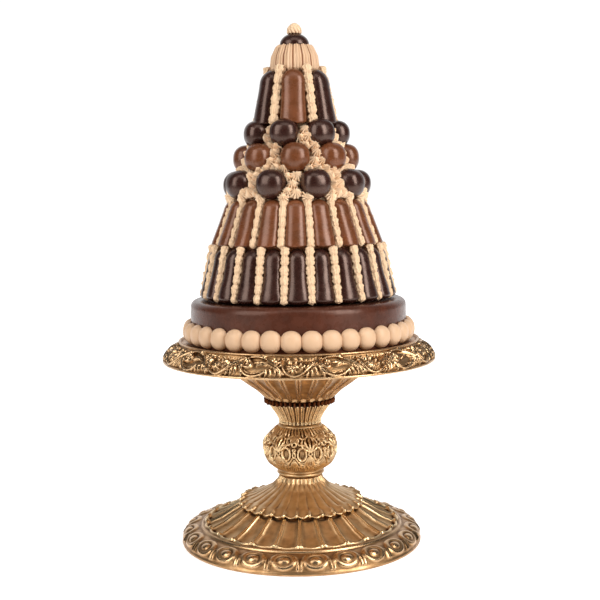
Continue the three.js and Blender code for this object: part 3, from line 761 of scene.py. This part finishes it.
smooth_cream = cream("smooth_buttercream", "CBA785", "8A5A38", 0.4)
pearl_radius, pearl_bottom, pearl_top = span("pearl_ring")
PEARLS, FIRST_PEARL = 37, -3.7
PEARL_WIDTH, PEARL_TALL = 20.2, pearl_top - pearl_bottom
pearl_back = drum_radius + 0.3
pearl_level = (pearl_bottom + pearl_top) / 2 + 0.5
pearls = []
draw = np.random.default_rng(11)
for k in range(PEARLS):
    size = (PEARL_WIDTH / 2, 1, PEARL_TALL / 2 * draw.uniform(0.97, 1.0))
    across, out, rise = np.moveaxis(rounded_ball(19, 12, 2.2) * size, -1, 0)
    reach = (pearl_radius - 0.2 - pearl_back) * draw.uniform(0.96, 1.0)
    out = np.where(out > 0, out * reach, np.maximum(out * reach, -0.2))
    azimuth = FIRST_PEARL + (k + draw.uniform(-0.03, 0.03)) * 360 / PEARLS
    ball = placed(azimuth, pearl_back + out, across, pearl_level + rise)
    ball += (0.15 * uneven(ball, 12, 40 + k))[..., None] * facing(azimuth)[0]
    # painted shade: darker where each ball meets the drum and its neighbours, and along its foot
    stain_and_shade = 0.1 + 0.42 * np.clip(1 - out / reach * 2.4, 0, 1) + 0.3 * (rise < -PEARL_TALL * 0.42)
    pearls.append((ball, stain_and_shade))
piece("cream_pearls", pearls, smooth_cream, "pearl_ring")


# ---- Lower tier
# Finger choux dipped in dark glaze stand side by side on the drum, rounded at both ends, narrow at
# the waist and full at the foot. A shell border of cream is piped down each groove.
dark_glaze = glaze("dark_chocolate_glaze", "2F1712", "23100C", 0.26)


def finger(azimuth, bottom, top, radius, top_radius, widths, depth, ends, back, seed):
    """One finger choux: its half width is read from widths along its height, its ends are closed over
    the two lengths in ends, and its back is pressed flat where back(height) says."""
    length = top - bottom
    rows = np.unique(np.concatenate([
        np.linspace(0, ends[0], 11),
        np.linspace(ends[0], length - ends[1], int(length - sum(ends)) + 2),
        length - ends[1] * (1 - np.sin(np.linspace(0, pi / 2, 13))),
        ends[0] * (1 - np.cos(np.linspace(0, pi / 2, 10))),
    ]).round(3))
    share = rows / length
    half = np.interp(share, np.linspace(0, 1, len(widths)), widths)
    bell = np.hanning(9)[1:-1]
    half = np.convolve(np.pad(half, 3, mode="edge"), bell / bell.sum(), "valid")[:, None]
    low = 1 - np.clip(rows / ends[0], 0, 1)
    high = 1 - np.clip((length - rows) / ends[1], 0, 1)
    close = np.sqrt(np.maximum((1 - low**2.4) * (1 - high**2), 1e-4))[:, None]
    turn = np.radians(np.arange(0, 360, 9))
    x, y = (np.sign(wave) * np.abs(wave) ** (2 / 2.2) for wave in (np.sin(turn), np.cos(turn)))
    middle = radius + (top_radius - radius) * share - depth / 2
    out = middle[:, None] + depth / 2 * close * y * (half / half.max()) ** 0.6
    out = np.maximum(out, back(bottom + rows)[:, None])
    skin = placed(azimuth, out, half * close * x, np.broadcast_to(bottom + rows[:, None], out.shape))
    return skin + (0.28 * uneven(skin, 22, seed))[..., None] * facing(azimuth)[0]


DARK_COUNT, FIRST_DARK_ROPE = 23, -8.0
lower_radius, lower_bottom, lower_top = span("dark_finger_ring")
LOWER_TOP_RADIUS, LOWER_BACK, LOWER_TOP_BACK = 87.3, 87.8, 78.5
draw = np.random.default_rng(5)
fingers = []
for k in range(DARK_COUNT):
    wide = draw.uniform(0.97, 1.02)
    skin = finger(
        FIRST_DARK_ROPE + (k + 0.5) * 360 / DARK_COUNT + draw.uniform(-0.25, 0.25), lower_bottom + 0.1,
        lower_top - draw.uniform(0, 0.8), lower_radius - 0.5, LOWER_TOP_RADIUS - 0.2,
        np.array([11.4, 11.8, 11.2, 10.2, 9.5, 9.2, 9.2, 9.4, 9.6, 9.4]) * wide, depth=19.0, ends=(6.0, 10.5),
        back=lambda z: np.interp(z, [lower_bottom, lower_top], [LOWER_BACK, LOWER_TOP_BACK]), seed=100 + k,
    )
    fingers.append((skin, 0))
piece("dark_fingers", fingers, dark_glaze, "dark_finger_ring")


def shells(azimuth, bottom, top, radius, top_radius, width, proud, pitch, seed, ridges=8, fan=3.6, rag=0.7):
    """A shell border piped from the top down: shells that overlap, each swelling and then drawn out,
    ridged by a star nozzle. fan spreads the ridges of a shell, and rag is how torn its edges are.
    Returns its skin and how dark each point is: darker between ridges and between shells, and painted shade
    on the half that faces the cone."""
    length = hypot(top - bottom, radius - top_radius)
    count = round(length / pitch)
    draw = np.random.default_rng(seed)
    t = np.linspace(0, 1, count * 14 + 1)[:, None]
    turn = np.radians(np.arange(0, 360, 72 / ridges))
    shell = (1 - t) * count - 1e-6
    part = shell % 1
    which = shell.astype(int)
    lean, size = draw.uniform(-1, 1, count + 1)[which], draw.uniform(0.93, 1.05, count + 1)[which]
    swell = (0.77 + 0.26 * np.sin(pi * part**0.8)) * size
    end = np.sqrt(np.clip(np.minimum(t, 1 - t) * length / 2.0, 0, 1))
    groove = 0.5 - 0.5 * np.cos(ridges * turn + fan * (part - 0.5) * np.sin(turn) + 0.5 * lean)
    tear = np.abs(np.sin(turn)) * np.abs(np.sin(2 * pi * shell + lean)) ** 0.5
    teeth = 1 + rag * (0.5 * tear - 0.25)
    section = (1 - 0.17 * groove) * swell * end
    x = width / 2 * np.sin(turn) * section * teeth + 0.3 * lean * np.sin(pi * part)
    y = proud * np.cos(turn) * section
    lean_in = atan2(radius - top_radius, top - bottom)
    outward = radius + (top_radius - radius) * t + y * cos(lean_in)
    level = bottom + (top - bottom) * t + y * sin(lean_in)
    skin = placed(azimuth, outward, x, level)
    torn = rag * (0.6 * uneven(skin, 3.2, seed) + 0.5 * uneven(skin, 1.7, seed + 7))
    skin += torn[..., None] * (facing(azimuth)[0] + [0, 0, 0.5])
    pinch = np.clip(1 - swell / 0.9, 0, 1)
    # painted shade on the half of the rope that faces the cone, and darker between ridges and shells
    return skin, np.clip(0.1 + 0.3 * groove + 1.1 * pinch + 0.4 * (np.cos(turn) < 0.1), 0, 1)


piped_cream = cream("piped_buttercream", "DEBC97", "865434", 0.5, 0.8)
ROPE_RADIUS, ROPE_TOP_RADIUS = 93.6, 82.4
ropes = [
    shells(FIRST_DARK_ROPE + k * 360 / DARK_COUNT, lower_bottom + 0.4, lower_top + 2.2, ROPE_RADIUS,
           ROPE_TOP_RADIUS, width=7.7, proud=4.8, pitch=9.4, seed=200 + k)
    for k in range(DARK_COUNT)
]
piece("lower_cream_ropes", ropes, piped_cream, "dark_finger_ring")


# ---- Cone
# The cream that carries the choux: a plain cone of buttercream, roughly spread, that shows only between the
# pieces. It is painted browner where it closes over the fingers of the lower tier, as painted shade for the
# dark gap there.
CORE_RADIUS, core_foot = 86.6, span("cream_core")[1]
CONE_TOP = 467.5
CONE = np.array(
    [(78.0, lower_top + 0.3), (61.4, 342.2), (49.6, 368.4), (38.4, 394), (29.3, 415.5), (19.0, CONE_TOP)]
)


def cone_radius(height):
    """The cone's radius at a height."""
    return np.interp(height, CONE[:, 1], CONE[:, 0])


cone = outline(
    [(30, core_foot + 0.3), (CORE_RADIUS - 0.6, core_foot + 0.3), (76.2, lower_top - 0.4), *CONE,
     (8, CONE_TOP)],
    0.6, 1.5,
)
azimuths = np.arange(0, 360, 2)
lumps = 0.35 * uneven(relieved(cone, azimuths, 0), 9, 21) - 0.35
# painted shade: a brown band in the gap just above the lower tier
painted_gap_shade = 0.3 + 0.7 * within(cone.level, lower_top - 9, lower_top + 2.5, 2)
piece("cream_cone", [(relieved(cone, azimuths, lumps), painted_gap_shade)], piped_cream, "cream_core")


# ---- Middle tier
# Milk-glazed finger choux, squarer than the lower ones and cut straight across at the foot, with a
# shell border between each two that ends in a rosette at its top.
milk_glaze = glaze("milk_chocolate_glaze", "693A20", "56301A", 0.27)
MILK_COUNT, FIRST_MILK = 18, -1.0
MILK_RADIUS, MILK_TOP_RADIUS = 86.1, 69.4
_, milk_bottom, milk_top = span("milk_finger_01")
draw = np.random.default_rng(8)
for k in range(MILK_COUNT):
    wide = draw.uniform(0.98, 1.02)
    skin = finger(
        FIRST_MILK + k * 360 / MILK_COUNT, milk_bottom + 0.1, milk_top - draw.uniform(0, 0.6),
        MILK_RADIUS - 0.4, MILK_TOP_RADIUS - 0.2,
        np.array([10.4, 10.5, 10.3, 10.0, 9.7, 9.5, 9.3, 9.2, 9.0]) * wide, depth=16.4, ends=(2.6, 7.5),
        back=lambda z: cone_radius(z) + 0.4, seed=300 + k,
    )
    node_name = f"milk_finger_{k + 1:02d}"
    piece(f"milk_choux_finger_{k + 1:02d}", [(skin, 0)], milk_glaze, node_name)


STAR_SPIKES = 10


def rosette(azimuth, height, root, size, proud, seed):
    """A star of cream piped outwards: sharp ridges that spread from its tip and curl back to its edge."""
    draw = np.random.default_rng(seed)
    turn = np.radians(np.arange(0, 360, 90 / STAR_SPIKES))
    t = np.linspace(0, 1, 9)[:, None]
    crest = (0.5 + 0.5 * np.cos(STAR_SPIKES * (turn + draw.uniform(-0.5, 0.5) * t))) ** 1.1
    which = np.round(turn * STAR_SPIKES / 2 / pi).astype(int) % STAR_SPIKES
    spike = 1 + 0.3 * draw.normal(size=STAR_SPIKES)[which]
    across = size * t * (0.7 + 0.36 * crest * spike)
    tip = 0.9 * np.exp(-((t / 0.25) ** 2))
    lift = proud * (1 - 0.72 * t**2) + tip - 2.4 * (1 - crest) * np.minimum(2 * t, 1)
    slope = atan2(cone_radius(height - 4) - cone_radius(height + 4), 8) + draw.uniform(-0.2, 0.2)
    ahead, side = facing(azimuth)
    out = ahead * cos(slope) + [0, 0, sin(slope)]
    skin = ahead * root + [0, 0, height] + lift[..., None] * out
    skin += (across * np.sin(turn))[..., None] * side
    skin += (across * np.cos(turn))[..., None] * np.cross(out, side)
    skin = np.concatenate([skin, skin[-1:] - 3.0 * out])[::-1]
    # painted shade: darker between the spikes, deepening towards the edge
    stain_and_shade = np.clip(0.75 * (1 - crest) ** 2 * np.minimum(1.6 * t, 1), 0, 1)
    return skin, np.concatenate([stain_and_shade, np.ones_like(stain_and_shade[:1])])[::-1]


first_rope = FIRST_MILK + 180 / MILK_COUNT
low, high = milk_bottom - 0.6, milk_top + 1.5
ropes = [
    shells(first_rope + k * 360 / MILK_COUNT, low, high, cone_radius(low) + 1.9, cone_radius(high) + 2.4,
           width=7.4, proud=4.8, pitch=9.4, seed=400 + k)
    for k in range(MILK_COUNT)
]
piece("middle_cream_ropes", ropes, piped_cream, "cream_core")


# ---- Round choux
# Three rows of round choux round the cone, dark, milk and dark, pressed into the cream. Their fronts
# are a little flat, and small stars of cream are piped close together into every gap between them.
GLAZES = {"dark": dark_glaze, "milk": milk_glaze}
ROWS = [  # name, diameter, count, first azimuth, radius of the ring, fullness across and up, and glaze
    ("choux_lower", 27.6, 9, 17.2, 59.6, 1.06, 1.08, "dark"),
    ("choux_middle", 27.2, 8, -1.2, 47.8, 1.04, 1.06, "milk"),
    ("choux_upper", 26.4, 7, -15.8, 39.2, 1.06, 1.21, "dark"),
]
balls = []
for row, diameter, count, first, ring, across, up, tone in ROWS:
    _, low, high = span(row + "_1")
    level, wide, tall = (low + high) / 2, diameter * across / 2, (high - low) * up / 2
    for k in range(count):
        azimuth = first + k * 360 / count
        ball = rounded_ball(33, 8, 2.3)
        ball *= (1 + 0.012 * uneven(ball * 14, 16, 500 + len(balls)))[..., None] * 0.995
        x, y, z = np.moveaxis(ball * (wide, wide, tall), -1, 0)
        ball = placed(azimuth, np.maximum(ring + y, cone_radius(level + z) + 0.2), x, level + z)
        balls.append((around(azimuth, ring, level), np.array([wide, wide, tall])))
        piece(f"round_{row}_{k + 1}", [(ball, 0)], GLAZES[tone], f"{row}_{k + 1}")

# The stars use a paler copy of the piped cream: painted light, lighter to make up for the shade that falls in
# their deep clefts.
star_cream_painted_paler = cream("piped_buttercream_painted_paler", "F2D2AE", "9A6640", 0.5, 0.8)
STAR_PITCH, STAR_SIZE, STAR_PROUD, STARS_END = 7.4, 5.7, 6.4, 414
stars = []
draw = np.random.default_rng(600)
for row, height in enumerate(np.arange(milk_top + 5.5, STARS_END, STAR_PITCH)):
    count = round(2 * pi * cone_radius(height) / STAR_PITCH)
    for k in range(count):
        azimuth = (k + row % 2 / 2 + draw.uniform(-0.12, 0.12)) * 360 / count
        root, up = cone_radius(height) + 3.9, height + draw.uniform(-0.8, 0.8)
        spot = around(azimuth, root + 3, up)
        if all(np.linalg.norm((spot - middle) / (half + 0.5)) > 1 for middle, half in balls):
            size = STAR_SIZE * draw.uniform(0.9, 1.1)
            stars.append(rosette(azimuth, up, root, size, STAR_PROUD, 600 + len(stars)))
head = milk_top + 1.6
for k in range(MILK_COUNT):  # the rosette that ends each rope of the middle tier
    azimuth = first_rope + k * 360 / MILK_COUNT
    stars.append(rosette(azimuth, head, cone_radius(head) + 4.6, 5.8, 5.4, 900 + k))
piece("cream_stars", stars, star_cream_painted_paler, "cream_core")


# ---- Top tier
# Six eclairs, milk and dark by turns, upright on the upper choux, domed at the top and flared at the
# foot where they settle over the choux. A shell border runs between each two.
ECLAIRS, FIRST_ECLAIR = 6, -3.6
ECLAIR_RADIUS, ECLAIR_TOP_RADIUS = 44.6, 34.8
for k in range(ECLAIRS):
    tone = ("milk", "dark")[k % 2]
    _, low, high = span(f"eclair_{tone}_{k + 1}")
    skin = finger(
        FIRST_ECLAIR + k * 360 / ECLAIRS, low + 0.05, high - 0.1, ECLAIR_RADIUS - 0.3,
        ECLAIR_TOP_RADIUS - 0.1, [12.9, 12.8, 12.3, 11.8, 11.5, 11.4, 11.4, 11.3, 11.1], depth=18.6,
        ends=(3.2, 11.5), back=lambda z: cone_radius(z) + 0.3, seed=800 + k,
    )
    for middle, half in balls:  # its foot moulds itself to the choux below
        depth = np.linalg.norm((skin - middle) / (half + 0.3), axis=-1)[..., None]
        skin = np.where(depth < 1, middle + (skin - middle) / np.maximum(depth, 1e-3), skin)
    piece(f"{tone}_eclair_{k + 1}", [(skin, 0)], GLAZES[tone], f"eclair_{tone}_{k + 1}")

ROPE_FOOT, ROPE_HEAD = 412, 470.5
ropes = [
    shells(FIRST_ECLAIR + (k + 0.5) * 360 / ECLAIRS, ROPE_FOOT, ROPE_HEAD, cone_radius(ROPE_FOOT) + 7.0, 24.6,
           width=9.4, proud=5.4, pitch=9.8, seed=900 + k, ridges=10, fan=3.0, rag=0.75)
    for k in range(ECLAIRS)
]
piece("top_cream_ropes", ropes, piped_cream, "cream_core")


# ---- Crown
# Broad strips of cream piped upwards with a flat star nozzle round the head of the cone, each with
# fine lines along it and a rounded end that curls in over the rim.
STRIPS, FIRST_SEAM = 15, -4.6
CROWN_BOTTOM, CROWN_TOP = 466.6, 490.5
CROWN_RADIUS, RIM_RADIUS = 24.8, 17.8
crown = outline(
    [(12, CROWN_BOTTOM - 3), (CROWN_RADIUS - 3.4, CROWN_BOTTOM - 2.8),
     (CROWN_RADIUS - 1.2, CROWN_BOTTOM + 0.4), (CROWN_RADIUS - 1.2, CROWN_BOTTOM + 3.4),
     ((CROWN_RADIUS + RIM_RADIUS) / 2 + 1.1, (CROWN_BOTTOM + CROWN_TOP) / 2 + 1),
     (RIM_RADIUS + 0.4, CROWN_TOP - 2.2), (RIM_RADIUS - 1.4, CROWN_TOP - 0.3),
     (RIM_RADIUS - 3.4, CROWN_TOP - 0.6), (RIM_RADIUS - 5, CROWN_TOP - 2.2), (4, CROWN_TOP - 2.2)],
    0.5, 0.5,
)
azimuths = np.arange(0, 360, 0.75)
radius, level = crown[:2]
share = off(azimuths, STRIPS, FIRST_SEAM + 180 / STRIPS)
strip = np.sqrt(np.clip(1 - (share * 0.96) ** 2, 0, 1))
lines = 0.46 * np.cos(share * pi * 2.9)
outside = within(radius, RIM_RADIUS - 4, 60, 1.5) * within(level, CROWN_BOTTOM - 2, 500, 1.5)
grid = relieved(crown, azimuths, outside * (1.9 * strip + lines * strip - 1.6))
grid[..., 2] += 0.9 * within(level, CROWN_TOP - 4, 500, 3) * (strip - 1)
# the cream is darker between the strips and along their lines: partly the brown wash, partly painted shade
seams = np.clip(0.16 + outside * (1.3 - 1.35 * strip - 0.8 * lines), 0, 1)
piece("cream_crown", [(grid, seams)], smooth_cream, "cream_core")


# ---- Top choux and finial
# A last choux sits in the crown, flat underneath and dipped in the same dark glaze as the lower tier. The
# finial is one rosette of buttercream, set down on the choux and drawn up to a point as the nozzle lifts.
top_radius, top_bottom, top_height = span("top_choux")
WAIST = 490.9  # where the choux is widest
choux = outline(
    [(3, top_bottom + 0.1), (top_radius - 1, top_bottom + 0.1), (top_radius - 0.1, top_bottom + 0.9),
     *arc((0, WAIST), top_radius, top_height - WAIST, np.arange(0, 84, 6)), (0.6, top_height - 0.02)],
    0.3, 0.6,
)
skin = relieved(choux, np.arange(0, 360, 6), -0.05)
piece("top_dark_choux", [(skin, 0)], dark_glaze, "top_choux")

finial_radius, finial_bottom, finial_top = span("cream_finial")
FINIAL_RIDGES = 12
t = np.linspace(0, 1, 40)[:, None]
azimuths = np.arange(0, 360, 5)
body = np.interp(t, [0, 0.08, 0.3, 0.5, 0.7, 0.85, 0.95, 1], [0.82, 0.97, 1.0, 0.95, 0.76, 0.52, 0.3, 0.05])
crest = 0.5 + 0.5 * np.cos(FINIAL_RIDGES * (np.radians(azimuths) + 0.8 * t))
radius = (finial_radius - 0.1) * body * (0.93 + 0.07 * crest)
height = finial_bottom + 0.2 + (finial_top - finial_bottom - 0.25) * t
seat = WAIST + (top_height - WAIST) * np.sqrt(np.clip(1 - (radius / top_radius) ** 2, 0, 1)) + 0.15
swirl = around(azimuths, radius, np.maximum(height, seat))
# the cream is darker in the clefts between its ridges and towards its foot: partly the brown wash, partly
# painted shade
clefts = np.clip(0.15 + 0.7 * (1 - crest) * (1 - t), 0, 1)
piece("piped_finial", [(swirl, clefts)], piped_cream, "cream_finial")
